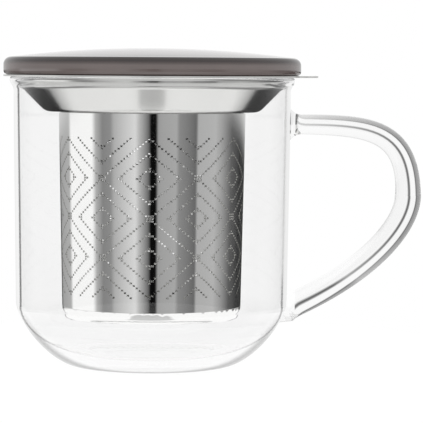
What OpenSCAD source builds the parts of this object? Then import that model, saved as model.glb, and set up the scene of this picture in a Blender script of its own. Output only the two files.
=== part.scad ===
// Glass tea mug with a lift-out steel infuser and a loose lid, in millimetres.
// The origin is the centre of the foot on the mug's axis. +Z is up and the handle is towards +X.

/* [Glass mug] */
// Height of the rim above the table
rim_z = 86.5; // [80:0.5:100]
// Outer radius of the wall just under the lip
wall_top_r = 41.7; // [40:0.1:46]
// Outer radius of the wall above the rounded bottom
wall_low_r = 40.9; // [38:0.1:45]
// Thickness of the blown wall
glass_t = 1.5; // [1:0.1:2]
// How far the lip flares out past the wall
lip_flare = 1.2; // [0.6:0.1:1.8]
// Radius of the fire-polished rim
lip_round = 1; // [0.7:0.1:1.2]
// Height of the flared stretch under the rim
lip_h = 4; // [3:0.5:8]
// Height of the rounded bottom
bottom_h = 18.5; // [12:0.1:24]
// Fullness of the rounded bottom, where 2 is an ellipse and less is softer
bottom_fullness = 1.45; // [1.4:0.05:2.4]
// Outer radius of the ring that the mug stands on
foot_r = 24.4; // [18:0.1:30]
// Width of the ring that the mug stands on
foot_w = 5; // [3:0.5:8]
// Height of the shallow hollow under the floor
punt_h = 0.7; // [0.3:0.1:1.5]
// Height of the inner floor above the table
floor_z = 2.4; // [2:0.1:6]

/* [Handle] */
// Drop from the rim to the centre of the upper weld
handle_drop = 14; // [10:0.1:20]
// Height of the centre of the lower weld
handle_low_z = 17; // [12:0.1:30]
// Reach of the rod's centre line past the wall
handle_reach = 35.7; // [28:0.1:44]
// Drop from the upper weld to the widest point of the grip
grip_drop = 21.2; // [15:0.1:26]
// Slope of the lower run where it meets the wall, in degrees
low_run_deg = 24; // [10:1:40]
// Share of the reach that the upper run goes before it turns down
top_lead = 0.63; // [0.4:0.01:0.9]
// Squareness of the upper bend
top_fall = 1; // [0.5:0.01:1]
// Squareness of the bend under the widest point
low_fall = 0.27; // [0.2:0.01:0.7]
// Length of the straight lower run as a share of the height that it climbs
low_lead = 0.78; // [0.4:0.01:0.9]
// Thickness of the rod at the upper weld
rod_top_d = 5.5; // [5:0.1:9]
// Thickness of the rod at the grip
rod_grip_d = 7.9; // [5:0.1:9]
// Thickness of the rod at the lower weld
rod_low_d = 7.7; // [5:0.1:9]
// How far the melted end spreads past the rod at the upper weld
top_spread = 2; // [0.5:0.1:3]
// How far the melted end spreads past the rod at the lower weld
low_spread = 0.6; // [0.3:0.1:2]
// Length of rod over which a melted end spreads
weld_len = 3.2; // [2:0.1:6]

/* [Infuser collar] */
// Thickness of the spun steel sheet
sheet_t = 0.5; // [0.4:0.05:0.8]
// Outer radius of the flange that rests on the rim
flange_r = 44.7; // [43.5:0.1:48]
// Reach of the finger tab from the axis
tab_reach = 49.8; // [48.5:0.1:56]
// Width of the finger tab
tab_w = 16; // [10:0.5:24]
// Depth of the straight cup under the flange
cup_h = 2.6; // [2:0.1:4]
// Depth of the whole funnel under the flange
funnel_h = 10.1; // [8:0.1:14]
// Steepness of the funnel's cone, in degrees from level
cone_deg = 45; // [40:1:55]
// Radius of the round shoulder between the cone and the ledge
shoulder_round = 4; // [2:0.5:5]
// Radius of the tighter bends in the collar
bend_round = 0.9; // [0.8:0.1:1.2]
// Radius of the sharp bend that the basket's wall butts against
neck_round = 0.2; // [0.1:0.05:0.4]
// Height of the neck that the basket slips over
neck_h = 5; // [3:0.5:8]

/* [Basket] */
// Outer radius of the basket at the ledge
basket_top_r = 28.1; // [25:0.1:29]
// Outer radius of the basket at its lower end
basket_low_r = 26.9; // [24:0.1:28.5]
// Height of the basket from its underside to the ledge
basket_h = 61.3; // [50:0.1:64]
// Thickness of the perforated sheet
basket_t = 0.4; // [0.3:0.05:0.6]
// Radius of the rounded edge of the basket's floor
pan_round = 3; // [2:0.1:4]
// Height of the floor's rim inside the wall
pan_lap = 3.5; // [2:0.5:7]
// Diameter of the holes in the wall
hole_d = 0.8; // [0.5:0.05:1]
// Height from one row of holes to the next
row_pitch = 1.45; // [1.4:0.05:1.7]
// Rows of holes in half the height of a lozenge
lozenge_rows = 8; // [6:2:8]
// Lozenges round the basket
lozenges = 6; // [4:1:8]
// Lozenges from the top of the basket to the bottom
tiers = 2; // [1:1:2]
// Height from the basket's underside to the lowest row
first_row_h = 7.4; // [5:0.1:9]
// Diameter of the holes in the floor
drain_d = 1; // [0.6:0.1:1.4]
// Distance from one ring of floor holes to the next
drain_pitch = 3.6; // [3:0.1:5]
// Rings of holes in the floor
drain_rings = 6; // [3:1:6]
// Width of the weld down the back of the basket
seam_w = 1; // [0.6:0.1:1.2]
// How far that weld stands proud
seam_proud = 0.15; // [0.1:0.05:0.3]

/* [Lid] */
// How far the lid's edge reaches past the flange
lid_overhang = 0; // [-1:0.1:2]
// Height of the lid's edge
edge_h = 5.4; // [5:0.1:8]
// Rounding of the lid's edge, above and below
edge_round = 2.4; // [1:0.1:2.5]
// Rise of the lid's crown above its edge
crown_h = 2.7; // [1:0.1:6]
// Thickness of the lid's wall
lid_wall = 3; // [2:0.1:4]
// Height of the locating ring under the lid
ring_h = 4.2; // [3.8:0.1:5]
// Thickness of the locating ring
ring_t = 2.4; // [2:0.1:3]
// Height of the seal in its groove
seal_h = 2; // [1.4:0.1:2.2]
// Depth of the seal's groove
groove_depth = 1; // [0.6:0.1:1.2]

/* [Fits] */
// Gap between the collar's cup and the inside of the mug's mouth
mouth_gap = 0.6; // [0.4:0.1:1]
// Gap between the locating ring and the inside of the cup
ring_gap = 1.6; // [1.2:0.1:2]
// Gap between the seal's lip and the inside of the cup
seal_gap = 0.3; // [0.2:0.05:0.5]
// Gap between lapped sheets, as at the neck and the floor's rim
lap_gap = 0.05; // [0.03:0.01:0.1]

/* [Hidden] */
$fn = 128;

// Colours: clear glass, bright steel, taupe glaze and pale silicone
glass_colour = [0.86, 0.93, 0.94, 0.45];
steel_colour = [0.78, 0.79, 0.8];
taupe_colour = [0.42, 0.37, 0.37];
silicone_colour = [0.9, 0.9, 0.88];

// Heights and radii that pieces share
flange_top_z = rim_z + sheet_t;
ledge_z = rim_z - funnel_h;
pan_z = ledge_z - basket_h;
cup_r = wall_top_r - glass_t - mouth_gap;
cup_inner_r = cup_r - sheet_t;
lid_z = flange_top_z;
lid_r = flange_r + lid_overhang;
ring_r = cup_inner_r - ring_gap;

// Steps in a curved stretch of an outline
curve_steps = 12;
bend_steps = 6;
slack = 1;

// ---- outlines ----

function unit(v) = v / norm(v);
function left(v) = [-v[1], v[0]];
function mix(a, b, t) = a + (b - a) * t;
function flipped(p) = [for (i = [len(p) - 1 : -1 : 0]) p[i]];

// Points of an arc that rounds the corner b of the path a, b, c
function corner(a, b, c, r) =
  let (
    u = unit(a - b),
    v = unit(c - b),
    half = acos(u * v) / 2,
    centre = b + unit(u + v) * r / sin(half),
    from = b + u * r / tan(half) - centre,
    to = b + v * r / tan(half) - centre,
    start = atan2(from[1], from[0]),
    turn = (atan2(to[1], to[0]) - start + 540) % 360 - 180
  )
  [for (i = [0 : bend_steps]) centre + r * [cos(start + turn * i / bend_steps), sin(start + turn * i / bend_steps)]];

// A path with each corner rounded to its own radius, where 0 leaves it sharp
function rounded(p, r) =
  [for (i = [0 : len(p) - 1]) each (r[i] == 0 ? [p[i]] : corner(p[i - 1], p[i], p[i + 1], r[i]))];

// A path moved sideways by t, to its left where t is positive
function beside(p, t) =
  [for (i = [0 : len(p) - 1])
    let (
      before = left(unit(p[max(i, 1)] - p[max(i, 1) - 1])),
      after = left(unit(p[min(i + 1, len(p) - 1)] - p[min(i, len(p) - 2)])),
      out = unit(before + after)
    )
    p[i] + out * t / (out * before)];

// The closed outline of a sheet of thickness t that follows a path
function sheet(p, t) = concat(p, flipped(beside(p, t)));

// ---- glass mug ----

function wall_r(z) = mix(wall_low_r, wall_top_r, (z - bottom_h) / (rim_z - lip_h - bottom_h));

// The rounded bottom, from a flat floor of radius r0 at height z0 up to the wall's radius r1
function bottom_curve(r0, z0, r1) =
  [for (i = [0 : curve_steps])
    let (a = 90 * i / curve_steps, power = 2 / bottom_fullness)
    [mix(r0, r1, pow(sin(a), power)), mix(z0, bottom_h, 1 - pow(cos(a), power))]];

// The flare under the lip, from the wall's radius r0 out to r1
function lip_curve(r0, r1) =
  [for (i = [0 : bend_steps])
    [mix(r0, r1, (1 - cos(180 * i / bend_steps)) / 2), mix(rim_z - lip_h, rim_z - lip_round, i / bend_steps)]];

lip_r = wall_top_r + lip_flare - lip_round;
vessel_outside = concat(bottom_curve(foot_r, 0, wall_low_r), lip_curve(wall_top_r, lip_r + lip_round));
vessel_inside = concat(
  [[0, floor_z]],
  bottom_curve(foot_r - glass_t, floor_z, wall_low_r - glass_t),
  lip_curve(wall_top_r - glass_t, lip_r - lip_round)
);
vessel_rim = [for (i = [1 : 2 * bend_steps - 1])
  let (a = 90 * i / bend_steps) [lip_r + lip_round * cos(a), rim_z - lip_round + lip_round * sin(a)]];
punt_r = foot_r - foot_w;
vessel_foot = rounded(
  [[0, punt_h], [punt_r - 2 * punt_h, punt_h], [punt_r, 0], [foot_r, 0]],
  [0, punt_h, punt_h, 0]
);

module glass_vessel() {
  color(glass_colour)
  rotate_extrude()
  polygon(concat(vessel_foot, vessel_outside, vessel_rim, flipped(vessel_inside)));
}

// The mug's outer form without its hollow, to which the handle's ends are cut
module vessel_form() {
  rotate_extrude()
  polygon(concat([[0, 0]], vessel_outside, [[lip_r, rim_z], [0, rim_z]]));
}

// ---- handle ----

function bezier(p, t) =
  pow(1 - t, 3) * p[0] + 3 * pow(1 - t, 2) * t * p[1] + 3 * (1 - t) * t * t * p[2] + pow(t, 3) * p[3];

handle_top_z = rim_z - handle_drop;
grip_x = wall_r(handle_top_z) + handle_reach;
grip_z = handle_top_z - grip_drop;
low_rise = grip_z - handle_low_z;
upper_curve = [
  [wall_r(handle_top_z), handle_top_z],
  [wall_r(handle_top_z) + top_lead * handle_reach, handle_top_z],
  [grip_x, grip_z + top_fall * grip_drop],
  [grip_x, grip_z]
];
lower_curve = [
  [grip_x, grip_z],
  [grip_x, grip_z - low_fall * low_rise],
  [wall_low_r, handle_low_z] + low_lead * low_rise * [cos(low_run_deg), sin(low_run_deg)],
  [wall_low_r, handle_low_z]
];

// Stations along the rod, close together at both welds, and an end that runs on into the glass
rod_steps = 22;
rod_sides = 20;
run_on = 4;
function spaced(i) = (1 - cos(180 * i / rod_steps)) / 2;
rod_path = concat(
  [upper_curve[0] - [run_on, 0]],
  [for (i = [0 : rod_steps]) bezier(upper_curve, spaced(i))],
  [for (i = [1 : rod_steps]) bezier(lower_curve, spaced(i))],
  [lower_curve[3] - run_on * [cos(low_run_deg), sin(low_run_deg)]]
);

function melted(d) = pow(max(0, 1 - d / weld_len), 2);
function rod_d(t) = t < 1 ? mix(rod_top_d, rod_grip_d, t) : mix(rod_grip_d, rod_low_d, t - 1);
function rod_r(p, i) =
  let (last = len(p) - 1)
  rod_d(2 * i / last) / 2
  + top_spread * (i == 0 ? 1 : melted(norm(p[i] - upper_curve[0])))
  + low_spread * (i == last ? 1 : melted(norm(p[i] - lower_curve[3])));

// A round rod along a path in the XZ plane, as rings joined by their sides
module rod(p) {
  n = rod_sides;
  rings = [for (i = [0 : len(p) - 1])
    let (
      along = unit(p[min(i + 1, len(p) - 1)] - p[max(i - 1, 0)]),
      across = left(along),
      r = rod_r(p, i)
    )
    each [for (k = [0 : n - 1])
      let (out = p[i] + across * r * cos(360 * k / n)) [out[0], r * sin(360 * k / n), out[1]]]];
  sides = [for (i = [0 : len(p) - 2]) each [for (k = [0 : n - 1])
    [i * n + k, i * n + (k + 1) % n, (i + 1) * n + (k + 1) % n, (i + 1) * n + k]]];
  ends = [[for (k = [n - 1 : -1 : 0]) k], [for (k = [0 : n - 1]) (len(p) - 1) * n + k]];
  polyhedron(points = rings, faces = concat(sides, ends));
}

module handle() {
  color(glass_colour)
  difference() {
    rod(rod_path);
    vessel_form();
  }
}

// ---- infuser collar ----

// The bend under the flange leaves a flat margin of the sheet's thickness on a narrow flange
flange_bend = min(bend_round, flange_r - cup_r - sheet_t);

// The collar's underside, from the flange's edge down the funnel to the foot of the neck
function basket_r(z) = mix(basket_low_r, basket_top_r, (z - pan_z - pan_round) / (basket_h - pan_round));
neck_r = basket_r(ledge_z - neck_h) - basket_t - lap_gap;
cone_run = (funnel_h - cup_h) / tan(cone_deg);
collar_path = rounded(
  [
    [flange_r, rim_z],
    [cup_r, rim_z],
    [cup_r, rim_z - cup_h],
    [cup_r - cone_run, ledge_z],
    [neck_r, ledge_z],
    [neck_r, ledge_z - neck_h]
  ],
  [0, flange_bend, 2 * bend_round, shoulder_round, neck_round, 0]
);

tab_root = flange_r - 2;
tab_round = tab_w / 2.5;
tab_outline = rounded(
  [
    [tab_root, -tab_w / 2],
    [tab_reach, -tab_w / 2],
    [tab_reach, tab_w / 2],
    [tab_root, tab_w / 2]
  ],
  [0, tab_round, tab_round, 0]
);

module infuser_collar() {
  color(steel_colour)
  union() {
    rotate_extrude()
    polygon(sheet(collar_path, -sheet_t));
    translate([0, 0, rim_z])
    linear_extrude(sheet_t)
    polygon(tab_outline);
  }
}

// ---- basket ----

// The wall has a narrow flat side for each column of holes
columns = 2 * lozenge_rows * lozenges;
half_deg = 180 / columns;
wall_z0 = pan_z + pan_round;
wall_z1 = ledge_z - neck_round - lap_gap;
wall_h = wall_z1 - wall_z0;
lean = atan((basket_top_r - basket_low_r) * cos(half_deg) / (basket_h - pan_round));
rows = 2 * lozenge_rows * tiers;
first_row = first_row_h - pan_round;
seam_column = columns / 4;

// Holes lie on nested lozenges: steps from a lozenge's centre, counted along rows and columns
function steps_out(i) = abs(i % (2 * lozenge_rows) - lozenge_rows);
function ring_no(i, j) =
  let (d = steps_out(i) + steps_out(j)) min(d, 2 * lozenge_rows - d);
function is_hole(i, j) = ring_no(i, j) % 3 == 2 && i != seam_column;

// The sheet before it is punched: a thin cone with flat sides, as four rings of points joined in turn
module plain_sheet() {
  n = columns;
  corners = [
    [basket_low_r, wall_z0],
    [basket_r(wall_z1), wall_z1],
    [basket_r(wall_z1) - basket_t, wall_z1],
    [basket_low_r - basket_t, wall_z0]
  ];
  points = [for (c = corners, i = [0 : n - 1])
    let (a = (2 * i + 1) * half_deg) [c[0] * cos(a), c[0] * sin(a), c[1]]];
  sides = [for (k = [0 : 3], i = [0 : n - 1])
    let (m = (k + 1) % 4 * n, j = (i + 1) % n) [k * n + i, m + i, m + j, k * n + j]];
  polyhedron(points = points, faces = sides);
}

// Stands its child on the outside of the wall in one column, with +X outwards and +Z up the wall
module on_wall(i) {
  rotate([0, 0, i * 2 * half_deg])
  translate([basket_low_r * cos(half_deg), 0, wall_z0])
  rotate([0, lean, 0])
  children();
}

module basket_wall() {
  color(steel_colour)
  difference() {
    plain_sheet();
    for (i = [0 : columns - 1], j = [0 : rows])
      if (is_hole(i, j))
        on_wall(i)
        translate([-slack, 0, first_row + j * row_pitch])
        rotate([0, 90, 0])
        cylinder(d = hole_d, h = 2 * slack, $fn = 24);
  }
}

// The floor's rim steps in by the wall's thickness, and the wall slips over it
lap_r0 = basket_r(wall_z0) * cos(half_deg) - basket_t - lap_gap;
lap_r1 = basket_r(wall_z0 + pan_lap) * cos(half_deg) - basket_t - lap_gap;
pan_path = rounded(
  [
    [0, pan_z],
    [basket_low_r, pan_z],
    [basket_low_r, wall_z0 - lap_gap],
    [lap_r0, wall_z0 - lap_gap],
    [lap_r1, wall_z0 + pan_lap]
  ],
  [0, pan_round - 2 * lap_gap, 0, 0, 0]
);

module basket_floor() {
  color(steel_colour)
  difference() {
    rotate_extrude()
    polygon(sheet(pan_path, basket_t));
    for (k = [0 : drain_rings], i = [0 : max(6 * k, 1) - 1])
      rotate([0, 0, 60 * i / max(k, 1)])
      translate([k * drain_pitch, 0, pan_z - slack])
      cylinder(d = drain_d, h = basket_t + 2 * slack, $fn = 24);
  }
}

// A low bead of weld down the one column that has no holes
module basket_seam() {
  bead_r = (pow(seam_w / 2, 2) + pow(seam_proud, 2)) / (2 * seam_proud);
  color(steel_colour)
  on_wall(seam_column)
  linear_extrude(wall_h / cos(lean))
  intersection() {
    translate([seam_proud - bead_r, 0])
    circle(bead_r);
    translate([0, -seam_w])
    square([seam_w, 2 * seam_w]);
  }
}

// ---- lid ----

crown_half = lid_r - edge_round;
crown_r = (pow(crown_half, 2) + pow(crown_h, 2)) / (2 * crown_h);
edge_top_z = lid_z + edge_h;
function crown_z(r) = edge_top_z + crown_h - crown_r + sqrt(pow(crown_r, 2) - r * r);
crown_curve = [for (i = [0 : curve_steps])
  let (r = crown_half * i / curve_steps) [r, crown_z(r)]];
hollow_r = ring_r - ring_t;
hollow_curve = [for (i = [curve_steps : -1 : 0])
  let (r = (hollow_r - lid_wall) * i / curve_steps) [r, crown_z(r) - lid_wall]];

seal_z = lid_z - ring_h + (ring_h - seal_h) / 2;
groove_r = ring_r - groove_depth;
lid_edge = rounded(
  [
    [crown_half, edge_top_z],
    [lid_r, edge_top_z],
    [lid_r, lid_z],
    [ring_r, lid_z],
    [ring_r, seal_z + seal_h],
    [groove_r, seal_z + seal_h],
    [groove_r, seal_z],
    [ring_r, seal_z],
    [ring_r, lid_z - ring_h],
    [hollow_r, lid_z - ring_h],
    [hollow_r, crown_z(hollow_r) - lid_wall],
    [hollow_r - lid_wall, crown_z(hollow_r - lid_wall) - lid_wall]
  ],
  [0, edge_round - 0.01, edge_round, 0, 0, 0, 0, 0, 0.6, 0.6, 2, 0]
);

module lid_shell() {
  color(taupe_colour)
  rotate_extrude()
  polygon(concat(crown_curve, lid_edge, hollow_curve));
}

// The seal fills the groove and reaches out to the cup as a soft lip
lip_tip_r = cup_inner_r - seal_gap;
module lid_seal() {
  color(silicone_colour)
  rotate_extrude()
  polygon([
    [groove_r, seal_z],
    [ring_r, seal_z],
    [lip_tip_r, seal_z + seal_h * 0.6],
    [lip_tip_r, seal_z + seal_h * 0.8],
    [ring_r, seal_z + seal_h * 0.7],
    [ring_r, seal_z + seal_h],
    [groove_r, seal_z + seal_h]
  ]);
}

glass_vessel();
handle();
infuser_collar();
basket_wall();
basket_floor();
basket_seam();
lid_shell();
lid_seal();
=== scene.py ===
import math

import bpy
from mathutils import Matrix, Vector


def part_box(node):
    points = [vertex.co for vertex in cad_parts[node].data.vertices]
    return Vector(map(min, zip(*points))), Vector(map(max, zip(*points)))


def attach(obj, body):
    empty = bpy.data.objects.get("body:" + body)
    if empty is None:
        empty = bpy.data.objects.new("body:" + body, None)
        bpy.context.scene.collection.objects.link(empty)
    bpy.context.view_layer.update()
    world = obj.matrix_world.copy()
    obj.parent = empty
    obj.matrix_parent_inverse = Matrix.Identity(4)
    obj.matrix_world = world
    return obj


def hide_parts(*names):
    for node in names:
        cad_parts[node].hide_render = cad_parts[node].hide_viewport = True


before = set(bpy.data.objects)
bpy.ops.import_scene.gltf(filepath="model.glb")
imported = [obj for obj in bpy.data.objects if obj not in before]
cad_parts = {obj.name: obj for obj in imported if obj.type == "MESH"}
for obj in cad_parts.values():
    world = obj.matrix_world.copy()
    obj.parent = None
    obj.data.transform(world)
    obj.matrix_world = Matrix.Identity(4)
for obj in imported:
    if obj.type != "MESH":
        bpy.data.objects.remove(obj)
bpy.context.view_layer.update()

# ---- View and studio ----
# A plain white table in front of a white backdrop, seen from a little above the rim.
# The camera stands well back, so that the mug's sides stay upright.
MM = 0.001
camera_place = (18 * MM, -687 * MM, 90.8 * MM)
camera_pitch = 3.73
camera_roll = 0.37
camera_lens = 194.04

bpy.ops.object.select_all(action="DESELECT")
bpy.ops.object.camera_add(
    location=camera_place,
    rotation=(math.radians(90 - camera_pitch), 0, 0),
)
camera = bpy.context.object
camera.data.lens = camera_lens
camera.rotation_euler.rotate_axis("Z", math.radians(camera_roll))
bpy.context.scene.camera = camera

# Light goes round many times inside a curved glass wall before it comes out.
bpy.context.scene.cycles.max_bounces = 32
bpy.context.scene.cycles.glossy_bounces = 24
bpy.context.scene.cycles.transmission_bounces = 24


def linear(hex_colour):
    """An sRGB hex colour as the linear RGBA that a shader takes."""
    parts = [int(hex_colour[i:i + 2], 16) / 255 for i in (1, 3, 5)]
    return tuple(p / 12.92 if p <= 0.04045 else ((p + 0.055) / 1.055) ** 2.4 for p in parts) + (1,)


def add_node(tree, kind, inputs=None, **settings):
    """Adds a node. Settings go on the node; an input takes a value, or another node's output as its link."""
    node = tree.nodes.new(kind)
    for name, value in settings.items():
        setattr(node, name, value)
    for name, value in (inputs or {}).items():
        if isinstance(value, bpy.types.NodeSocket):
            tree.links.new(value, node.inputs[name])
        else:
            node.inputs[name].default_value = value
    return node


# What polished metal reflects, in degrees round from the camera towards the right: softboxes, dark flags
# between them and the dim room behind. Each pair is an edge and the level from there on.
reflected = [
    (-180, "#202020"), (-164, "#282828"), (-156, "#A0A0A0"), (-124, "#B4B4B4"), (-118, "#FFFFFF"),
    (-78, "#FFFFFF"), (-72, "#B4B4B4"), (-62, "#848484"), (-51, "#8C8C8C"), (-46, "#B0B0B0"),
    (-19, "#DCDCDC"), (-14, "#B8B8B8"), (-3, "#6C6C6C"), (0, "#0C0C0C"), (6.5, "#0C0C0C"),
    (9, "#A0A0A0"), (31, "#A8A8A8"), (35, "#868686"), (57, "#626262"), (60, "#B0B0B0"),
    (86, "#B8B8B8"), (101, "#949494"), (118, "#505050"), (141, "#141414"), (180, "#0C0C0C"),
]

# The rest of the room, as steel and glaze mirror it. Each pair is where a part of the room starts and where
# it is all there, as a direction's share along X (to the right), Y (to the back) or Z (up).
bands_top_z = (-0.04, -0.01)
behind_y = (0.1, 0.6)
backdrop_x = (0.2, 0.08)
ceiling_z = (0.2, 0.4)
ground_z = (-0.16, -0.24)
near_ground_y = (-0.3, -0.7)
flag_x = (0.07, 0.14)
flag_y = (0.52, 0.64)
room_level = "#D8D8D8"
backdrop_level = "#FFFFFF"
ceiling_level = "#CCCCCC"
ground_level = "#909090"
near_ground_level = "#D4D4D4"
flag_level = "#080808"

# Where clear glass turns away, it mirrors the white backdrop beside it, which washes the bands out there.
# The large softbox on the left stands so low that the glass hardly shows it.
glass_wash = 0.85
softbox_x = (0.3, -0.5)
softbox_loss = 0.6

world = bpy.data.worlds.new("studio")
bpy.context.scene.world = world
world.use_nodes = True
sky = world.node_tree
sky.nodes.clear()
direction = add_node(sky, "ShaderNodeTexCoord")
axes = add_node(sky, "ShaderNodeSeparateXYZ", {0: direction.outputs["Generated"]})
towards = add_node(sky, "ShaderNodeMath", {0: axes.outputs["Y"], 1: -1}, operation="MULTIPLY")
bearing = add_node(sky, "ShaderNodeMath", {0: axes.outputs["X"], 1: towards.outputs[0]}, operation="ARCTAN2")
share = add_node(
    sky, "ShaderNodeMath", {0: bearing.outputs[0], 1: 0.5 / math.pi, 2: 0.5}, operation="MULTIPLY_ADD"
)
bands = add_node(sky, "ShaderNodeValToRGB", {0: share.outputs[0]})
stops = bands.color_ramp.elements
stops.remove(stops[1])
stops[0].color = linear(reflected[0][1])
for degrees, level in reflected[1:]:
    stops.new(0.5 + degrees / 360).color = linear(level)
# The bands stand at the mug's height. Above them is the pale room, with the white backdrop straight behind
# the mug, and over both of them the ceiling.
overhead = add_node(
    sky, "ShaderNodeMapRange",
    {0: axes.outputs["Z"], 1: bands_top_z[0], 2: bands_top_z[1], 3: 0, 4: 1},
    interpolation_type="SMOOTHSTEP",
)
behind = add_node(
    sky, "ShaderNodeMapRange",
    {0: axes.outputs["Y"], 1: behind_y[0], 2: behind_y[1], 3: 0, 4: 1},
    interpolation_type="SMOOTHSTEP",
)
aside = add_node(sky, "ShaderNodeMath", {0: axes.outputs["X"]}, operation="ABSOLUTE")
ahead = add_node(
    sky, "ShaderNodeMapRange",
    {0: aside.outputs[0], 1: backdrop_x[0], 2: backdrop_x[1], 3: 0, 4: 1},
    interpolation_type="SMOOTHSTEP",
)
ahead = add_node(sky, "ShaderNodeMath", {0: behind.outputs[0], 1: ahead.outputs[0]}, operation="MULTIPLY")
above = add_node(
    sky, "ShaderNodeMix",
    {"Factor": ahead.outputs[0], 6: linear(room_level), 7: linear(backdrop_level)},
    data_type="RGBA",
)
ceiling = add_node(
    sky, "ShaderNodeMapRange",
    {0: axes.outputs["Z"], 1: ceiling_z[0], 2: ceiling_z[1], 3: 0, 4: 1},
    interpolation_type="SMOOTHSTEP",
)
above = add_node(
    sky, "ShaderNodeMix",
    {"Factor": ceiling.outputs[0], 6: above.outputs[2], 7: linear(ceiling_level)},
    data_type="RGBA",
)
studio = add_node(
    sky, "ShaderNodeMix",
    {"Factor": overhead.outputs[0], 6: bands.outputs[0], 7: above.outputs[2]},
    data_type="RGBA",
)
# Past the table's edge steel mirrors the floor of the room, grey and paler on the camera's side, and two
# dark flags low down behind the mug.
path = add_node(sky, "ShaderNodeLightPath")
on_steel = add_node(sky, "ShaderNodeMath", {0: 1, 1: path.outputs["Is Singular Ray"]}, operation="SUBTRACT")
below = add_node(
    sky, "ShaderNodeMapRange",
    {0: axes.outputs["Z"], 1: ground_z[0], 2: ground_z[1], 3: 0, 4: 1},
    interpolation_type="SMOOTHSTEP",
)
below = add_node(sky, "ShaderNodeMath", {0: below.outputs[0], 1: on_steel.outputs[0]}, operation="MULTIPLY")
flags = add_node(
    sky, "ShaderNodeMapRange",
    {0: aside.outputs[0], 1: flag_x[0], 2: flag_x[1], 3: 0, 4: 1},
    interpolation_type="SMOOTHSTEP",
)
far_back = add_node(
    sky, "ShaderNodeMapRange",
    {0: axes.outputs["Y"], 1: flag_y[0], 2: flag_y[1], 3: 0, 4: 1},
    interpolation_type="SMOOTHSTEP",
)
flags = add_node(sky, "ShaderNodeMath", {0: flags.outputs[0], 1: far_back.outputs[0]}, operation="MULTIPLY")
near_camera = add_node(
    sky, "ShaderNodeMapRange", {0: axes.outputs["Y"], 1: near_ground_y[0], 2: near_ground_y[1], 3: 0, 4: 1}
)
ground = add_node(
    sky, "ShaderNodeMix",
    {"Factor": near_camera.outputs[0], 6: linear(ground_level), 7: linear(near_ground_level)},
    data_type="RGBA",
)
ground = add_node(
    sky, "ShaderNodeMix",
    {"Factor": flags.outputs[0], 6: ground.outputs[2], 7: linear(flag_level)},
    data_type="RGBA",
)
studio = add_node(
    sky, "ShaderNodeMix",
    {"Factor": below.outputs[0], 6: studio.outputs[2], 7: ground.outputs[2]},
    data_type="RGBA",
)
# A ray that has met no mirror sees plain white: the backdrop, and the soft light on the mug.
bounced = add_node(
    sky, "ShaderNodeMath", {0: path.outputs["Glossy Depth"], 1: 0.5}, operation="GREATER_THAN"
)
turned_away = add_node(
    sky, "ShaderNodeMath", {0: path.outputs["Is Singular Ray"], 1: behind.outputs[0]}, operation="MULTIPLY"
)
washed = add_node(
    sky, "ShaderNodeMath", {0: turned_away.outputs[0], 1: -glass_wash, 2: 1}, operation="MULTIPLY_ADD"
)
mirrored = add_node(
    sky, "ShaderNodeMath", {0: bounced.outputs[0], 1: washed.outputs[0]}, operation="MULTIPLY"
)
seen = add_node(
    sky, "ShaderNodeMix",
    {"Factor": mirrored.outputs[0], 6: linear("#FFFFFF"), 7: studio.outputs[2]},
    data_type="RGBA",
)
on_glass = add_node(
    sky, "ShaderNodeMath", {0: path.outputs["Is Singular Ray"], 1: bounced.outputs[0]}, operation="MULTIPLY"
)
lefthand = add_node(
    sky, "ShaderNodeMapRange",
    {0: axes.outputs["X"], 1: softbox_x[0], 2: softbox_x[1], 3: 0, 4: softbox_loss},
)
in_front = add_node(sky, "ShaderNodeMath", {0: 1, 1: behind.outputs[0]}, operation="SUBTRACT")
dimmed = add_node(
    sky, "ShaderNodeMath", {0: lefthand.outputs[0], 1: in_front.outputs[0]}, operation="MULTIPLY"
)
dimmed = add_node(
    sky, "ShaderNodeMath", {0: dimmed.outputs[0], 1: on_glass.outputs[0]}, operation="MULTIPLY"
)
seen = add_node(
    sky, "ShaderNodeMix",
    {"Factor": dimmed.outputs[0], 6: seen.outputs[2], 7: linear("#000000")},
    data_type="RGBA",
)
light = add_node(sky, "ShaderNodeBackground", {"Color": seen.outputs[2], "Strength": 1})
add_node(sky, "ShaderNodeOutputWorld", {"Surface": light.outputs[0]})


def new_material(name, **inputs):
    """A material with one Principled shader; returns the material, its tree and the shader."""
    material = bpy.data.materials.new(name)
    material.use_nodes = True
    tree = material.node_tree
    shader = tree.nodes["Principled BSDF"]
    for socket, value in inputs.items():
        shader.inputs[socket.replace("_", " ")].default_value = value
    return material, tree, shader


# The table is a plain white disc, whose middle lies a little in front of the mug. Steel mirrors it well lit
# out to lit_r, and darker from there to its edge.
table_r = 125 * MM
table_middle_y = -12 * MM
lit_r = 85 * MM
edge_loss = 0.7
table_level = 1.03
floor_shade = 0.05
streak_x = 0.5 * MM
streak_half = 14 * MM
streak_core = 0.8
streak_near_y = (-27 * MM, -30 * MM)
streak_far_y = (-56 * MM, -48 * MM)
streak_loss = 0.45

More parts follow.
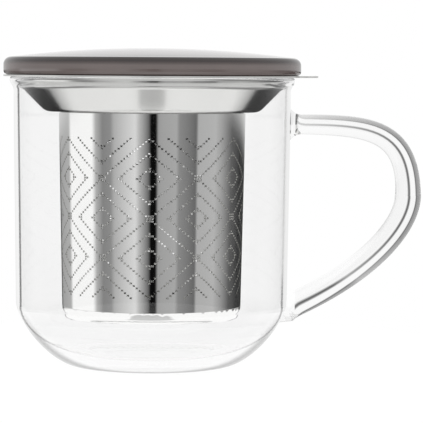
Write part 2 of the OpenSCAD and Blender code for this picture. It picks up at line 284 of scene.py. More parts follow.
bpy.ops.object.select_all(action="DESELECT")
bpy.ops.mesh.primitive_circle_add(
    vertices=96, radius=table_r, fill_type="NGON", location=(0, table_middle_y, 0)
)
bpy.ops.object.transform_apply(location=True, rotation=True, scale=True)
floor = bpy.context.object
floor.name = "table"
material, tree, shader = new_material("white_table", Base_Color=linear("#FFFFFF"), Roughness=0.9)
path = add_node(tree, "ShaderNodeLightPath")
through = add_node(
    tree, "ShaderNodeMath", {0: path.outputs["Is Camera Ray"], 1: path.outputs["Is Transmission Ray"]},
    operation="MAXIMUM",
)
shown = add_node(
    tree, "ShaderNodeMath", {0: through.outputs[0], 1: path.outputs["Is Glossy Ray"]}, operation="MAXIMUM"
)
part = add_node(tree, "ShaderNodeMath", {0: shown.outputs[0], 1: 1 - floor_shade}, operation="MULTIPLY")
place = add_node(tree, "ShaderNodeTexCoord")
from_middle = add_node(
    tree, "ShaderNodeVectorMath",
    {0: place.outputs["Object"], 1: (0, table_middle_y, 0)},
    operation="DISTANCE",
)
loss = add_node(
    tree, "ShaderNodeMapRange", {0: from_middle.outputs["Value"], 1: lit_r, 2: table_r, 3: 0, 4: edge_loss}
)
# It shows a grey streak in front of the mug, where the gap between the softboxes falls on the table.
spot = add_node(tree, "ShaderNodeSeparateXYZ", {0: place.outputs["Object"]})
sideways = add_node(tree, "ShaderNodeMath", {0: spot.outputs["X"], 1: streak_x}, operation="SUBTRACT")
sideways = add_node(tree, "ShaderNodeMath", {0: sideways.outputs[0]}, operation="ABSOLUTE")
streak = add_node(
    tree, "ShaderNodeMapRange",
    {0: sideways.outputs[0], 1: streak_half, 2: streak_core * streak_half, 3: 0, 4: streak_loss},
)
nearest = add_node(
    tree, "ShaderNodeMapRange", {0: spot.outputs["Y"], 1: streak_near_y[0], 2: streak_near_y[1], 3: 0, 4: 1}
)
farthest = add_node(
    tree, "ShaderNodeMapRange", {0: spot.outputs["Y"], 1: streak_far_y[0], 2: streak_far_y[1], 3: 0, 4: 1}
)
for share in (nearest, farthest):
    streak = add_node(
        tree, "ShaderNodeMath", {0: streak.outputs[0], 1: share.outputs[0]}, operation="MULTIPLY"
    )
loss = add_node(tree, "ShaderNodeMath", {0: loss.outputs[0], 1: streak.outputs[0]}, operation="MAXIMUM")
on_steel = add_node(
    tree, "ShaderNodeMath", {0: path.outputs["Is Glossy Ray"], 1: path.outputs["Is Singular Ray"]},
    operation="SUBTRACT", use_clamp=True,
)
loss = add_node(tree, "ShaderNodeMath", {0: loss.outputs[0], 1: on_steel.outputs[0]}, operation="MULTIPLY")
level = add_node(tree, "ShaderNodeMath", {0: table_level, 1: loss.outputs[0]}, operation="SUBTRACT")
white = add_node(tree, "ShaderNodeEmission", {"Color": linear("#FFFFFF"), "Strength": level.outputs[0]})
blend = add_node(
    tree, "ShaderNodeMixShader", {0: part.outputs[0], 1: shader.outputs[0], 2: white.outputs[0]}
)
tree.links.new(blend.outputs[0], tree.nodes["Material Output"].inputs["Surface"])
floor.data.materials.append(material)

# ---- Glass mug ----
# Mouth-blown borosilicate glass: a thin wall, a soft round bottom and a fire-polished lip.
# The handle is a solid rod, bent hot and melted on at both ends, so mug and handle are one piece of glass.
_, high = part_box("glass_vessel")
rim_z = high.z / MM
lip_outer_r = high.x / MM
wall_top_r = 41.7
wall_low_r = 40.9
glass_t = 1.5
lip_round = 1
lip_h = 4
bottom_h = 18.5
bottom_fullness = 1.45
inner_fullness = 1.68
foot_r = 24.4
foot_w = 5
punt_h = 0.7
inner_floor_z = 2.4
crease = math.radians(35)


def turned(name, outline, steps):
    """Draws a closed outline of (radius, height) in millimetres and spins it round the axis."""
    bpy.ops.object.select_all(action="DESELECT")
    bpy.ops.mesh.primitive_plane_add(size=MM)
    piece = bpy.context.object
    piece.name = name
    bpy.ops.object.mode_set(mode="EDIT")
    bpy.ops.mesh.select_mode(type="VERT")
    bpy.ops.mesh.merge(type="CENTER")
    bpy.ops.transform.translate(value=(outline[0][0] * MM, 0, outline[0][1] * MM))
    for before, after in zip(outline, outline[1:] + outline[:1]):
        step = ((after[0] - before[0]) * MM, 0, (after[1] - before[1]) * MM)
        bpy.ops.mesh.extrude_region_move(TRANSFORM_OT_translate={"value": step})
    bpy.ops.mesh.select_all(action="SELECT")
    bpy.ops.mesh.remove_doubles(threshold=0.001 * MM)
    bpy.ops.mesh.spin(steps=steps, angle=2 * math.pi, center=(0, 0, 0), axis=(0, 0, 1))
    bpy.ops.mesh.select_all(action="SELECT")
    bpy.ops.mesh.remove_doubles(threshold=0.002 * MM)
    bpy.ops.mesh.normals_make_consistent(inside=False)
    bpy.ops.object.mode_set(mode="OBJECT")
    bpy.ops.object.transform_apply(location=True, rotation=True, scale=True)
    bpy.ops.object.shade_smooth_by_angle(angle=crease)
    return piece


def mix(a, b, t):
    """From a to b as t goes from 0 to 1."""
    return a + (b - a) * t


def round_bottom(r0, z0, r1, fullness, steps=24):
    """From a flat floor of radius r0 at height z0, up and round to the wall of radius r1."""
    turns = [math.pi / 2 * i / steps for i in range(steps + 1)]
    power = 2 / fullness
    return [
        (mix(r0, r1, math.sin(a) ** power), mix(z0, bottom_h, 1 - max(math.cos(a), 0) ** power))
        for a in turns
    ]


def flare(r0, r1, steps=8):
    """The wall's last stretch, which swings out from radius r0 to the lip's r1."""
    return [
        (
            mix(r0, r1, (1 - math.cos(math.pi * i / steps)) / 2),
            mix(rim_z - lip_h, rim_z - lip_round, i / steps),
        )
        for i in range(steps + 1)
    ]


def arc(centre, radius, start, end, steps):
    """Points of an arc in degrees, anticlockwise where end is larger."""
    turns = [math.radians(mix(start, end, i / steps)) for i in range(steps + 1)]
    return [(centre[0] + radius * math.cos(a), centre[1] + radius * math.sin(a)) for a in turns]


lip_r = lip_outer_r - lip_round
punt_r = foot_r - foot_w
outside = round_bottom(foot_r, 0, wall_low_r, bottom_fullness) + flare(wall_top_r, lip_outer_r)
inside = [(0, inner_floor_z)]
inside += round_bottom(foot_r - glass_t, inner_floor_z, wall_low_r - glass_t, inner_fullness)
inside += flare(wall_top_r - glass_t, lip_r - lip_round)
lip = arc((lip_r, rim_z - lip_round), lip_round, 0, 180, 12)[1:-1]
foot = [(0, punt_h), (punt_r - 3 * punt_h, punt_h), (punt_r - punt_h, 0.6 * punt_h), (punt_r, 0)]
glass = turned("glass_mug", foot + outside + lip + inside[::-1], steps=224)

handle_drop = 14
handle_low_z = 17
handle_reach = 35.7
grip_drop = 21.2
low_run_deg = 24
top_lead = 0.63
top_fall = 1
low_fall = 0.27
low_lead = 0.78
rod_top_d = 5.5
rod_grip_d = 7.9
rod_low_d = 7.7
top_spread = 2
low_spread = 0.6
weld_len = 3.2
run_in = 1.2
end_slack = 0.1
rod_steps = 36


def wall_r(z):
    """The wall's outer radius at a height, between the round bottom and the lip."""
    return mix(wall_low_r, wall_top_r, (z - bottom_h) / (rim_z - lip_h - bottom_h))


def bezier(p, t):
    """The point at t, from 0 to 1, on a curve given by an end, two control points and the other end."""
    return tuple(
        (1 - t) ** 3 * a + 3 * (1 - t) ** 2 * t * b + 3 * (1 - t) * t * t * c + t ** 3 * d
        for a, b, c, d in zip(*p)
    )


handle_top_z = rim_z - handle_drop
weld_r = wall_r(handle_top_z)
grip_x = weld_r + handle_reach
grip_z = handle_top_z - grip_drop
low_rise = grip_z - handle_low_z
slope = math.radians(low_run_deg)
upper = [
    (weld_r, handle_top_z),
    (weld_r + top_lead * handle_reach, handle_top_z),
    (grip_x, grip_z + top_fall * grip_drop),
    (grip_x, grip_z),
]
lower = [
    (grip_x, grip_z),
    (grip_x, grip_z - low_fall * low_rise),
    (
        wall_low_r + low_lead * low_rise * math.cos(slope),
        handle_low_z + low_lead * low_rise * math.sin(slope),
    ),
    (wall_low_r, handle_low_z),
]
spaced = [(1 - math.cos(math.pi * i / rod_steps)) / 2 for i in range(rod_steps + 1)]
route = [bezier(upper, t) for t in spaced] + [bezier(lower, t) for t in spaced[1:]]
route = [(route[0][0] - run_in, route[0][1])] + route
route += [(route[-1][0] - run_in * math.cos(slope), route[-1][1] - run_in * math.sin(slope))]


def rod_r(i):
    """The rod's radius at one point of its route, with both ends spread where they melted on to the wall."""
    x, z = route[i]
    gone = [max(0, 1 - math.dist((x, z), weld) / weld_len) ** 2 for weld in (upper[0], lower[3])]
    if i == 0 or i == len(route) - 1:
        gone = [1 if i == 0 else 0, 0 if i == 0 else 1]
    t = 2 * i / (len(route) - 1)
    thickness = mix(rod_top_d, rod_grip_d, t) if t < 1 else mix(rod_grip_d, rod_low_d, t - 1)
    return thickness / 2 + top_spread * gone[0] + low_spread * gone[1]


bpy.ops.object.select_all(action="DESELECT")
bpy.ops.curve.primitive_bezier_curve_add()
rod = bpy.context.object
rod.name = "handle_rod"
rod.data.dimensions = "3D"
rod.data.splines.clear()
line = rod.data.splines.new("POLY")
line.points.add(len(route) - 1)
for i, (point, (x, z)) in enumerate(zip(line.points, route)):
    point.co = (x * MM, 0, z * MM, 1)
    point.radius = rod_r(i)
rod.data.bevel_depth = MM
rod.data.bevel_resolution = 10
rod.data.use_fill_caps = True
bpy.ops.object.convert(target="MESH")
bpy.ops.object.mode_set(mode="EDIT")
bpy.ops.mesh.select_all(action="SELECT")
bpy.ops.mesh.remove_doubles(threshold=0.001 * MM)
bpy.ops.mesh.normals_make_consistent(inside=False)
bpy.ops.object.mode_set(mode="OBJECT")


def joined(piece, other, operation="UNION"):
    """Joins another closed mesh to a piece, or cuts it out, and takes the other away."""
    change = piece.modifiers.new("join", "BOOLEAN")
    change.operation = operation
    change.solver = "EXACT"
    change.object = other
    bpy.ops.object.select_all(action="DESELECT")
    piece.select_set(True)
    bpy.context.view_layer.objects.active = piece
    bpy.ops.object.modifier_apply(modifier=change.name)
    bpy.data.objects.remove(other)


def outside_r(z):
    """The vessel's outer radius at a height, on the round bottom or the wall."""
    if z >= bottom_h:
        return wall_r(z)
    turn = math.acos((1 - z / bottom_h) ** (bottom_fullness / 2))
    return mix(foot_r, wall_low_r, math.sin(turn) ** (2 / bottom_fullness))


# The lower end is pressed on to the vessel while it is soft, so it ends along the middle of the glass.
end_x, end_z = route[-1]
for vertex in rod.data.vertices:
    x, y, z = (c / MM for c in vertex.co)
    if z < grip_z:
        seat = math.sqrt((outside_r(z) - glass_t / 2) ** 2 - y * y)
        from_end = (x - end_x) * math.cos(slope) + (z - end_z) * math.sin(slope)
        if from_end < end_slack or x < seat:
            vertex.co.x = seat * MM
joined(glass, rod)
bpy.ops.object.shade_smooth_by_angle(angle=crease)

# Clear borosilicate glass, fire-polished: no colour of its own, bright within. Thin dark lines are painted
# in as shade where
# it bends the light away: along the inner skin, under the round bottom and down the handle's rod.
# The painted levels are what is left of the light at one crossing, from the rod's inner side to its outer
# side.
rod_painted_shade = [
    (-1, "#DADADA"), (-0.86, "#F8F8F8"), (-0.14, "#FBFBFB"), (-0.03, "#6E6E6E"), (0.05, "#6E6E6E"),
    (0.15, "#FDFDFD"), (0.48, "#FDFDFD"), (0.56, "#585858"), (0.64, "#989898"), (0.92, "#A8A8A8"),
    (1, "#F0F0F0"),
]
loop_middle = (57 * MM, 0, 49 * MM)
rod_from_r = 43.4 * MM
# The rod's painted dark lines grow from faint at the upper weld to full at the grip, and are full at the
# lower weld.
rod_fade_x = (46 * MM, 74 * MM)
rod_fade = (0.45, 1)
root_z = (34 * MM, 24 * MM)
glass_ior = 1.473
# The round bottom is painted a touch greyer than the wall, most where it turns under: painted shade for the
# light that the glass bends away there. Each pair is where the change starts and where it is all there.
low_z = (20 * MM, 12 * MM)
low_shade_level = "#FAFAFA"
under_facing = (0.66, 0.8)
under_z = (18 * MM, 9 * MM)
under_shade_level = "#A8A8A8"
material, tree, shader = new_material(
    "clear_borosilicate_glass", Roughness=0.0, IOR=glass_ior, Transmission_Weight=1.0
)
place = add_node(tree, "ShaderNodeTexCoord")
parts = add_node(tree, "ShaderNodeSeparateXYZ", {0: place.outputs["Object"]})
flat = add_node(tree, "ShaderNodeCombineXYZ", {0: parts.outputs["X"], 1: parts.outputs["Y"]})
from_axis = add_node(tree, "ShaderNodeVectorMath", {0: flat.outputs[0]}, operation="LENGTH")
outward = add_node(
    tree, "ShaderNodeVectorMath", {0: place.outputs["Object"], 1: loop_middle}, operation="SUBTRACT"
)
outward = add_node(tree, "ShaderNodeVectorMath", {0: outward.outputs[0], 1: (1, 0, 1)}, operation="MULTIPLY")
outward = add_node(tree, "ShaderNodeVectorMath", {0: outward.outputs[0]}, operation="NORMALIZE")
side = add_node(
    tree, "ShaderNodeVectorMath",
    {0: outward.outputs[0], 1: place.outputs["Normal"]},
    operation="DOT_PRODUCT",
)
side = add_node(
    tree, "ShaderNodeMath", {0: side.outputs["Value"], 1: 0.5, 2: 0.5}, operation="MULTIPLY_ADD"
)
# Painted shade: dark lines down the rod, set by which way its surface faces from the loop's middle.
lines = add_node(tree, "ShaderNodeValToRGB", {0: side.outputs[0]})
stops = lines.color_ramp.elements
stops.remove(stops[1])
stops[0].color = linear(rod_painted_shade[0][1])
for offset, level in rod_painted_shade[1:]:
    stops.new(0.5 + offset / 2).color = linear(level)
strength = add_node(
    tree, "ShaderNodeMapRange",
    {0: parts.outputs["X"], 1: rod_fade_x[0], 2: rod_fade_x[1], 3: rod_fade[0], 4: rod_fade[1]},
)
at_root = add_node(
    tree, "ShaderNodeMapRange", {0: parts.outputs["Z"], 1: root_z[0], 2: root_z[1], 3: 0, 4: 1}
)
strength = add_node(
    tree, "ShaderNodeMath", {0: strength.outputs[0], 1: at_root.outputs[0]}, operation="MAXIMUM"
)
lines = add_node(
    tree, "ShaderNodeMix", {"Factor": strength.outputs[0], 6: linear("#FFFFFF"), 7: lines.outputs[0]},
    data_type="RGBA",
)
facing = add_node(tree, "ShaderNodeLayerWeight", {"Blend": 0.5})
low = add_node(tree, "ShaderNodeMapRange", {0: parts.outputs["Z"], 1: low_z[0], 2: low_z[1], 3: 0, 4: 1})
bottom_painted_shade = add_node(
    tree, "ShaderNodeMix", {"Factor": low.outputs[0], 6: linear("#FFFFFF"), 7: linear(low_shade_level)},
    data_type="RGBA",
)
rounding = add_node(
    tree, "ShaderNodeMapRange",
    {0: facing.outputs["Facing"], 1: under_facing[0], 2: under_facing[1], 3: 0, 4: 1},
    interpolation_type="SMOOTHSTEP",
)
near_foot = add_node(
    tree, "ShaderNodeMapRange", {0: parts.outputs["Z"], 1: under_z[0], 2: under_z[1], 3: 0, 4: 1}
)
outwards = add_node(
    tree, "ShaderNodeVectorMath", {0: flat.outputs[0], 1: place.outputs["Normal"]}, operation="DOT_PRODUCT"
)
outer_skin = add_node(tree, "ShaderNodeMath", {0: outwards.outputs["Value"], 1: 0}, operation="GREATER_THAN")
for share in (near_foot, outer_skin):
    rounding = add_node(
        tree, "ShaderNodeMath", {0: rounding.outputs[0], 1: share.outputs[0]}, operation="MULTIPLY"
    )
# Painted shade: the outer skin greys where the round bottom turns under.
bottom_painted_shade = add_node(
    tree, "ShaderNodeMix", {"Factor": rounding.outputs[0], 6: bottom_painted_shade.outputs[2], 7: linear(under_shade_level)},
    data_type="RGBA",
)
on_rod = add_node(
    tree, "ShaderNodeMath", {0: from_axis.outputs["Value"], 1: rod_from_r}, operation="GREATER_THAN"
)
glass_shade = add_node(
    tree, "ShaderNodeMix", {"Factor": on_rod.outputs[0], 6: bottom_painted_shade.outputs[2], 7: lines.outputs[2]},
    data_type="RGBA",
)
# Each crossing takes the square root of the colour, and only the way in gets the painted shade.
glass_shade = add_node(tree, "ShaderNodeVectorMath", {0: glass_shade.outputs[2], 1: glass_shade.outputs[2]}, operation="MULTIPLY")
inside = add_node(tree, "ShaderNodeNewGeometry")
glass_shade = add_node(
    tree, "ShaderNodeMix",
    {"Factor": inside.outputs["Backfacing"], 6: glass_shade.outputs[0], 7: linear("#FFFFFF")},
    data_type="RGBA",
)
tree.links.new(glass_shade.outputs[2], shader.inputs["Base Color"])
# The skin inside the wall gets a thin painted dark line, as painted shade. It lies where light that comes
# through the wall's thickness just fails to get out of the inner skin, at a critical angle, given as one
# less its cosine.
# It is painted strongest away from the handle and by the lower weld, and nearly gone at the foot.
critical = 1 - math.sqrt(1 - 1 / glass_ior ** 2)
skin_half = (0.006, 0.002)
skin_side_x = (-30 * MM, 30 * MM)
skin_side = (1, 0.25)
skin_weld_z = (34 * MM, 22 * MM)
skin_weld = 0.8
skin_end_z = (6 * MM, 13 * MM)
skin_end = 0.1
skin_shade_level = "#404040"
edge = add_node(
    tree, "ShaderNodeMath", {0: facing.outputs["Facing"], 1: critical}, operation="SUBTRACT"
)
edge = add_node(tree, "ShaderNodeMath", {0: edge.outputs[0]}, operation="ABSOLUTE")
edge = add_node(
    tree, "ShaderNodeMapRange", {0: edge.outputs[0], 1: skin_half[0], 2: skin_half[1], 3: 0, 4: 1}
)
handle_side = add_node(
    tree, "ShaderNodeMapRange",
    {0: parts.outputs["X"], 1: skin_side_x[0], 2: skin_side_x[1], 3: skin_side[0], 4: skin_side[1]},
)
at_weld = add_node(
    tree, "ShaderNodeMapRange",
    {0: parts.outputs["Z"], 1: skin_weld_z[0], 2: skin_weld_z[1], 3: 0, 4: skin_weld},
)
round_the_mug = add_node(
    tree, "ShaderNodeMath", {0: handle_side.outputs[0], 1: at_weld.outputs[0]}, operation="MAXIMUM"
)
up_the_mug = add_node(
    tree, "ShaderNodeMapRange",
    {0: parts.outputs["Z"], 1: skin_end_z[0], 2: skin_end_z[1], 3: skin_end, 4: 1},
)
off_rod = add_node(tree, "ShaderNodeMath", {0: 1, 1: on_rod.outputs[0]}, operation="SUBTRACT")
for share in (
    outer_skin.outputs[0],
    inside.outputs["Backfacing"],
    round_the_mug.outputs[0],
    up_the_mug.outputs[0],
    off_rod.outputs[0],
):
    edge = add_node(tree, "ShaderNodeMath", {0: edge.outputs[0], 1: share}, operation="MULTIPLY")
# Painted shade: a dark see-through sheet that draws the line.
painted_skin_shade = add_node(tree, "ShaderNodeBsdfTransparent", {"Color": linear(skin_shade_level)})
glass_skin = add_node(
    tree, "ShaderNodeMixShader", {0: edge.outputs[0], 1: shader.outputs[0], 2: painted_skin_shade.outputs[0]}
)
# What the steel mirrors isn't bent by the glass on its way, so that the basket's bands stay straight.
path = add_node(tree, "ShaderNodeLightPath")
mirrored = add_node(
    tree, "ShaderNodeMath", {0: path.outputs["Glossy Depth"], 1: 0.5}, operation="GREATER_THAN"
)
passing = add_node(tree, "ShaderNodeBsdfTransparent")
blend = add_node(
    tree, "ShaderNodeMixShader", {0: mirrored.outputs[0], 1: glass_skin.outputs[0], 2: passing.outputs[0]}
)
tree.links.new(blend.outputs[0], tree.nodes["Material Output"].inputs["Surface"])
glass.data.materials.clear()
glass.data.materials.append(material)
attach(glass, "mug")
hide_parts("glass_vessel", "handle")

# ---- Infuser collar ----
# Stainless steel sheet, spun over a form into a flange, a straight cup and a funnel, with a lifting tab.
# Spinning leaves it satin, with fine rings round the axis.
_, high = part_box("infuser_collar")
flange_r = 44.7
sheet_t = 0.5
tab_reach = high.x / MM
tab_w = 16
cup_h = 2.6
funnel_h = 10.1
shoulder_round = 4
bend_round = 0.9
neck_round = 0.2
neck_h = 5
mouth_gap = 0.6
basket_top_r = 28.1
basket_low_r = 26.9
basket_h = 61.3
basket_t = 0.4
pan_round = 3
lap_gap = 0.05

cup_r = wall_top_r - glass_t - mouth_gap
ledge_z = rim_z - funnel_h
pan_z = ledge_z - basket_h


def basket_r(z):
    """The basket wall's outer radius at a height."""
    return mix(basket_low_r, basket_top_r, (z - pan_z - pan_round) / (basket_h - pan_round))


def rounded(path, radii, steps=8):
    """A path of (radius, height) with each corner rounded to its own radius, where 0 leaves it sharp."""
    points = []
    for i, (corner, radius) in enumerate(zip(path, radii)):
        if not radius:
            points.append(corner)
            continue
        before, after = (
            ((p[0] - corner[0]) / math.dist(p, corner), (p[1] - corner[1]) / math.dist(p, corner))
            for p in (path[i - 1], path[i + 1])
        )
        half = math.acos(before[0] * after[0] + before[1] * after[1]) / 2
        middle = (before[0] + after[0], before[1] + after[1])
        reach = radius / math.sin(half) / math.hypot(*middle)
        centre = (corner[0] + middle[0] * reach, corner[1] + middle[1] * reach)
        ends = [(corner[0] + d[0] * radius / math.tan(half), corner[1] + d[1] * radius / math.tan(half))
                for d in (before, after)]
        start, end = (math.degrees(math.atan2(e[1] - centre[1], e[0] - centre[0])) for e in ends)
        end = start + (end - start + 540) % 360 - 180
        points += arc(centre, radius, start, end, steps)
    return points


def sheet_outline(path, thickness):
    """The closed outline of a sheet that follows a path, with its thickness to the path's right."""
    beside = []
    for i, p in enumerate(path):
        before = path[max(i, 1) - 1], path[max(i, 1)]
        after = path[min(i, len(path) - 2)], path[min(i + 1, len(path) - 1)]
        normals = []
        for a, b in (before, after):
            length = math.dist(a, b)
            normals.append(((b[1] - a[1]) / length, (a[0] - b[0]) / length))
        out = (normals[0][0] + normals[1][0], normals[0][1] + normals[1][1])
        scale = thickness / (out[0] * normals[0][0] + out[1] * normals[0][1])
        beside.append((p[0] + out[0] * scale, p[1] + out[1] * scale))
    return path + beside[::-1]


neck_r = basket_r(ledge_z - neck_h) - basket_t - lap_gap
collar_path = rounded(
    [
        (flange_r, rim_z),
        (cup_r, rim_z),
        (cup_r, rim_z - cup_h),
        (cup_r - (funnel_h - cup_h), ledge_z),
        (neck_r, ledge_z),
        (neck_r, ledge_z - neck_h),
    ],
    [0, bend_round, 2 * bend_round, shoulder_round, neck_round, 0],
)
collar = turned("infuser_collar_spun", sheet_outline(collar_path, sheet_t), steps=224)

tab_round = tab_w / 2.5
tab_overlap = 2
tab_root = flange_r - tab_overlap
bpy.ops.object.select_all(action="DESELECT")
bpy.ops.mesh.primitive_cube_add(
    size=MM,
    location=((tab_root + tab_reach) / 2 * MM, 0, (rim_z + sheet_t / 2) * MM),
    scale=(tab_reach - tab_root, tab_w, sheet_t),
)
tab = bpy.context.object
bpy.ops.object.transform_apply(location=True, rotation=True, scale=True)
bpy.ops.object.mode_set(mode="EDIT")
bpy.ops.mesh.select_mode(type="EDGE")
bpy.ops.mesh.select_all(action="DESELECT")
bpy.ops.object.mode_set(mode="OBJECT")
for edge in tab.data.edges:
    a, b = (tab.data.vertices[v].co for v in edge.vertices)
    edge.select = a.x > flange_r * MM and b.x > flange_r * MM and abs(a.z - b.z) > 0.5 * sheet_t * MM
bpy.ops.object.mode_set(mode="EDIT")
bpy.ops.mesh.bevel(offset=tab_round * MM, segments=10, affect="EDGES")
bpy.ops.mesh.select_all(action="SELECT")
bpy.ops.mesh.normals_make_consistent(inside=False)
bpy.ops.object.mode_set(mode="OBJECT")
joined(collar, tab)
bpy.ops.object.shade_smooth_by_angle(angle=crease)

# Spun stainless steel, satin: soft bands of light with fine rings from the spinning tool.
# noise_range is where most values of a noise texture lie, here and in the materials below.
ring_pitch = 0.35 * MM
ring_depth = 0.02 * MM
ring_strength = 0.05
satin_rough = (0.13, 0.17)
noise_range = (0.3, 0.7)
material, tree, shader = new_material(
    "spun_satin_stainless_steel", Base_Color=linear("#E6E6E4"), Metallic=1.0
)
place = add_node(tree, "ShaderNodeTexCoord")
parts = add_node(tree, "ShaderNodeSeparateXYZ", {0: place.outputs["Object"]})
flat = add_node(tree, "ShaderNodeCombineXYZ", {0: parts.outputs["X"], 1: parts.outputs["Y"]})
from_axis = add_node(tree, "ShaderNodeVectorMath", {0: flat.outputs[0]}, operation="LENGTH")
rings = add_node(tree, "ShaderNodeCombineXYZ", {0: from_axis.outputs["Value"], 1: parts.outputs["Z"]})
grain = add_node(
    tree, "ShaderNodeTexNoise",
    {"Vector": rings.outputs[0], "Scale": 1 / ring_pitch, "Detail": 3, "Roughness": 0.6},
)
rough = add_node(
    tree, "ShaderNodeMapRange",
    {0: grain.outputs["Fac"], 1: noise_range[0], 2: noise_range[1], 3: satin_rough[0], 4: satin_rough[1]},
)
tree.links.new(rough.outputs[0], shader.inputs["Roughness"])
marks = add_node(
    tree, "ShaderNodeBump",
    {"Height": grain.outputs["Fac"], "Strength": ring_strength, "Distance": ring_depth},
)
tree.links.new(marks.outputs[0], shader.inputs["Normal"])
satin_steel = material
collar.data.materials.clear()
collar.data.materials.append(satin_steel)
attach(collar, "infuser")
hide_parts("infuser_collar")

# ---- Basket wall ----
# Polished stainless sheet, punched with rows of fine holes and rolled into a slightly tapered tube.
# The holes lie on nested lozenges, six round and two high, and a strip at the back is left for the weld.
# They stand at half the solid's pitch, for finer dotted lines.
lozenges = 6
lozenge_rows = 16
tiers = 2
row_pitch = 1.45 / 2
first_row_h = 7.4
dotted_rings = (4, 10, 16)
hole_margin = 0.11
hole_corner = 0.12
least_row_h = 0.1
columns = 2 * lozenge_rows * lozenges
wall_z0 = pan_z + pan_round
wall_z1 = ledge_z - neck_round - lap_gap
first_row_z = pan_z + first_row_h
rows = 2 * lozenge_rows * tiers
heights = [first_row_z + (j - 0.5) * row_pitch for j in range(rows + 2)]
heights = [wall_z0] + [z for z in heights if z > wall_z0 + least_row_h] + [wall_z1]

bpy.ops.object.select_all(action="DESELECT")
bpy.ops.mesh.primitive_plane_add(size=MM)
basket = bpy.context.object
basket.name = "basket_wall_punched"
bpy.ops.object.mode_set(mode="EDIT")
bpy.ops.mesh.select_mode(type="VERT")
bpy.ops.mesh.merge(type="CENTER")
bpy.ops.transform.translate(value=(basket_r(heights[0]) * MM, 0, heights[0] * MM))
for z0, z1 in zip(heights, heights[1:]):
    bpy.ops.mesh.extrude_region_move(
        TRANSFORM_OT_translate={"value": ((basket_r(z1) - basket_r(z0)) * MM, 0, (z1 - z0) * MM)}
    )
bpy.ops.mesh.select_all(action="SELECT")
half_turn = math.pi / columns
bpy.ops.transform.rotate(value=half_turn, orient_axis="Z", center_override=(0, 0, 0))
bpy.ops.mesh.spin(steps=columns, angle=2 * math.pi, center=(0, 0, 0), axis=(0, 0, 1))
bpy.ops.mesh.select_all(action="SELECT")
bpy.ops.mesh.remove_doubles(threshold=0.002 * MM)
bpy.ops.mesh.normals_make_consistent(inside=False)
bpy.ops.mesh.select_all(action="DESELECT")
bpy.ops.object.mode_set(mode="OBJECT")


def steps_out(i):
    """Cells from the middle of a lozenge, counted along a row or a column."""
    return abs(i % (2 * lozenge_rows) - lozenge_rows)


def is_hole(i, j):
    """Whether the cell in column i and row j of the pattern is a hole."""
    d = steps_out(i) + steps_out(j)
    return 0 <= j <= rows and min(d, 2 * lozenge_rows - d) in dotted_rings


for face in basket.data.polygons:
    x, y, z = face.center
    i = round((math.atan2(y, x) % (2 * math.pi)) / (2 * half_turn))
    j = round((z / MM - first_row_z) / row_pitch)
    near_seam = abs(i - columns // 4) <= 1
    face.select = is_hole(i, j) and not near_seam and z / MM > heights[1] and z / MM < heights[-2]
bpy.ops.object.mode_set(mode="EDIT")
bpy.ops.mesh.select_mode(type="FACE")
bpy.ops.mesh.inset(thickness=hole_margin * MM, use_individual=True)
bpy.ops.mesh.bevel(offset=hole_corner * MM, segments=1, affect="VERTICES")
bpy.ops.mesh.delete(type="FACE")
bpy.ops.mesh.select_all(action="SELECT")
bpy.ops.object.mode_set(mode="OBJECT")
bpy.ops.object.shade_smooth()
wall = basket.modifiers.new("wall", "SOLIDIFY")
wall.thickness = basket_t * MM
wall.offset = -1
bpy.ops.object.modifier_apply(modifier=wall.name)
bpy.ops.object.shade_smooth_by_angle(angle=crease)

# Polished stainless steel: a near mirror, with a trace of the rolling grain round the sheet.
# The real grain is too fine to show, so it is drawn coarser.
grain_length = 5 * MM
grain_width = 0.2 * MM
polish_rough = (0.03, 0.055)
material, tree, shader = new_material(
    "polished_stainless_steel", Base_Color=linear("#FCFCFB"), Metallic=1.0
)
place = add_node(tree, "ShaderNodeTexCoord")
grain_scale = add_node(
    tree, "ShaderNodeMapping",
    {"Vector": place.outputs["Object"], "Scale": (1 / grain_length, 1 / grain_length, 1 / grain_width)},
)
grain = add_node(tree, "ShaderNodeTexNoise", {"Vector": grain_scale.outputs[0], "Scale": 1, "Detail": 2})
rough = add_node(
    tree, "ShaderNodeMapRange",
    {0: grain.outputs["Fac"], 1: noise_range[0], 2: noise_range[1], 3: polish_rough[0], 4: polish_rough[1]},
)
tree.links.new(rough.outputs[0], shader.inputs["Roughness"])
bright_steel = material
basket.data.materials.clear()
basket.data.materials.append(bright_steel)
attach(basket, "infuser")
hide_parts("basket_wall")

# ---- Basket floor ----
# A shallow pan pressed from the same bright sheet, with round drain holes, held in the wall by its rim.
# Its rounded edge is the bright ring at the basket's lower end.


def from_node(node, name):
    """A merged, smooth copy of a CAD node's mesh, as a piece of its own."""
    bpy.ops.object.select_all(action="DESELECT")
    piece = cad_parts[node].copy()
    piece.data = piece.data.copy()
    piece.name = name
    for key in list(piece.keys()):
        del piece[key]
    bpy.context.scene.collection.objects.link(piece)
    piece.parent = None
    piece.select_set(True)
    bpy.context.view_layer.objects.active = piece
    bpy.ops.object.mode_set(mode="EDIT")
    bpy.ops.mesh.select_all(action="SELECT")
    bpy.ops.mesh.remove_doubles(threshold=0.001 * MM)
    bpy.ops.object.mode_set(mode="OBJECT")
    bpy.ops.object.shade_smooth_by_angle(angle=crease)
    return piece


pan = from_node("basket_floor", "basket_floor_pan")
pan.data.materials.clear()
pan.data.materials.append(bright_steel)
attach(pan, "infuser")
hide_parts("basket_floor")

# ---- Basket seam ----
# A low bead of weld that closes the rolled wall at the back, ground flat at its ends.
seam = from_node("basket_seam", "basket_seam_bead")
seam.data.materials.clear()
seam.data.materials.append(satin_steel)
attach(seam, "infuser")
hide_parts("basket_seam")

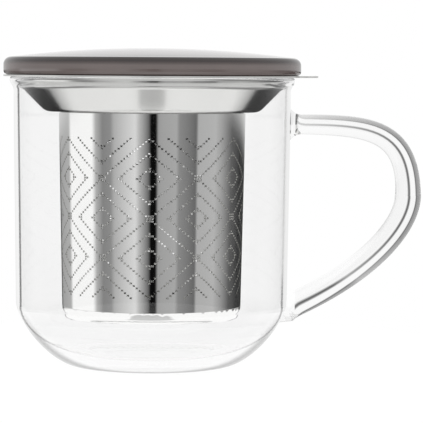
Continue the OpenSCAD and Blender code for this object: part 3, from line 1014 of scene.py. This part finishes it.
# ---- Lid ----
# Glazed stoneware: a low crown, a rounded edge and a ring underneath that drops into the collar.
# It lies loose on the flange.
_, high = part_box("lid_shell")
lid_r = high.x / MM
lid_z = rim_z + sheet_t
edge_h = 5.4
edge_round = 2.4
lower_round = 1.3
crown_h = high.z / MM - lid_z - edge_h
edge_slack = 0.01
lid_wall = 3
ring_h = 4.2
ring_t = 2.4
ring_round = 0.6
hollow_round = 2
seal_h = 2
groove_depth = 1
ring_gap = 1.6
ring_r = cup_r - sheet_t - ring_gap
crown_half = lid_r - edge_round
crown_r = (crown_half ** 2 + crown_h ** 2) / (2 * crown_h)
edge_top_z = lid_z + edge_h


def crown_z(r):
    """The crown's height at a radius."""
    return edge_top_z + crown_h - crown_r + math.sqrt(crown_r ** 2 - r * r)


hollow_r = ring_r - ring_t
seal_z = lid_z - ring_h + (ring_h - seal_h) / 2
groove_r = ring_r - groove_depth
crown_steps = 24
crown_curve = [(r, crown_z(r)) for r in (crown_half * i / crown_steps for i in range(crown_steps + 1))]
ceiling_r = hollow_r - lid_wall
hollow_curve = [
    (r, crown_z(r) - lid_wall)
    for r in (ceiling_r * i / crown_steps for i in range(crown_steps, -1, -1))
]
lid_edge = rounded(
    [
        (crown_half, edge_top_z),
        (lid_r, edge_top_z),
        (lid_r, lid_z),
        (ring_r, lid_z),
        (ring_r, seal_z + seal_h),
        (groove_r, seal_z + seal_h),
        (groove_r, seal_z),
        (ring_r, seal_z),
        (ring_r, lid_z - ring_h),
        (hollow_r, lid_z - ring_h),
        (hollow_r, crown_z(hollow_r) - lid_wall),
        (ceiling_r, crown_z(ceiling_r) - lid_wall),
    ],
    [
        0, edge_round - edge_slack, lower_round,
        0, 0, 0, 0, 0,
        ring_round, ring_round, hollow_round, 0,
    ],
)
lid = turned("lid_glazed", crown_curve + lid_edge[1:] + hollow_curve[1:], steps=224)

# Taupe glaze on stoneware: glossy, with a soft orange-peel surface. Its colour is painted darker over the
# rounded top of the
# edge and lighter below: painted shade and painted light for the dark room mirrored above it and the white
# table below.
# Each pair is a height up the edge in millimetres and a colour, up to over_edge above it.
glaze_patch = 14 * MM
peel_size = 2.5 * MM
peel_depth = 0.03 * MM
peel_strength = 0.06
cloud_range = (0.92, 1.08)
over_edge = 1
painted_glaze_shade = [
    (0, "#665C5A"), (edge_h - 2.4, "#665C5A"), (edge_h - 1.2, "#2E2625"), (edge_h, "#2E2625"),
    (edge_h + 0.8, "#665C5B"),
]
material, tree, shader = new_material("taupe_glazed_stoneware", Roughness=0.035, IOR=1.75)
place = add_node(tree, "ShaderNodeTexCoord")
drift = add_node(
    tree, "ShaderNodeTexNoise", {"Vector": place.outputs["Object"], "Scale": 1 / glaze_patch, "Detail": 3}
)
parts = add_node(tree, "ShaderNodeSeparateXYZ", {0: place.outputs["Object"]})
up_edge = add_node(
    tree, "ShaderNodeMapRange",
    {0: parts.outputs["Z"], 1: lid_z * MM, 2: (edge_top_z + over_edge) * MM, 3: 0, 4: 1},
)
# Painted shade and light: darker over the rounded top of the edge, lighter below.
edge_shade_ramp = add_node(tree, "ShaderNodeValToRGB", {0: up_edge.outputs[0]})
stops = edge_shade_ramp.color_ramp.elements
stops.remove(stops[1])
stops[0].color = linear(painted_glaze_shade[0][1])
for height, level in painted_glaze_shade[1:]:
    stops.new(height / (edge_h + over_edge)).color = linear(level)
cloud = add_node(
    tree, "ShaderNodeMapRange",
    {0: drift.outputs["Fac"], 1: noise_range[0], 2: noise_range[1], 3: cloud_range[0], 4: cloud_range[1]},
)
shade = add_node(
    tree, "ShaderNodeVectorMath", {0: edge_shade_ramp.outputs[0], "Scale": cloud.outputs[0]}, operation="SCALE"
)
tree.links.new(shade.outputs[0], shader.inputs["Base Color"])
peel = add_node(tree, "ShaderNodeTexNoise", {"Vector": place.outputs["Object"], "Scale": 1 / peel_size})
ripple = add_node(
    tree, "ShaderNodeBump",
    {"Height": peel.outputs["Fac"], "Strength": peel_strength, "Distance": peel_depth},
)
tree.links.new(ripple.outputs[0], shader.inputs["Normal"])
lid.data.materials.clear()
lid.data.materials.append(material)
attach(lid, "lid")
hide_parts("lid_shell")

# ---- Lid seal ----
# A clear silicone ring that sits in the groove round the lid's ring, moulded with a soft lip.
# The lip is drawn unbent, and stands just clear of the inside of the collar's cup.
seal = from_node("lid_seal", "lid_seal_ring")
# Clear moulded silicone: milky where it is thick, with a soft sheen.
material, tree, shader = new_material(
    "clear_moulded_silicone", Base_Color=linear("#E8E8E2"), Roughness=0.4, IOR=1.41, Transmission_Weight=0.5
)
seal.data.materials.clear()
seal.data.materials.append(material)
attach(seal, "lid")
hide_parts("lid_seal")

# ---- Finish ----
bpy.context.scene.view_settings.view_transform = "Standard"
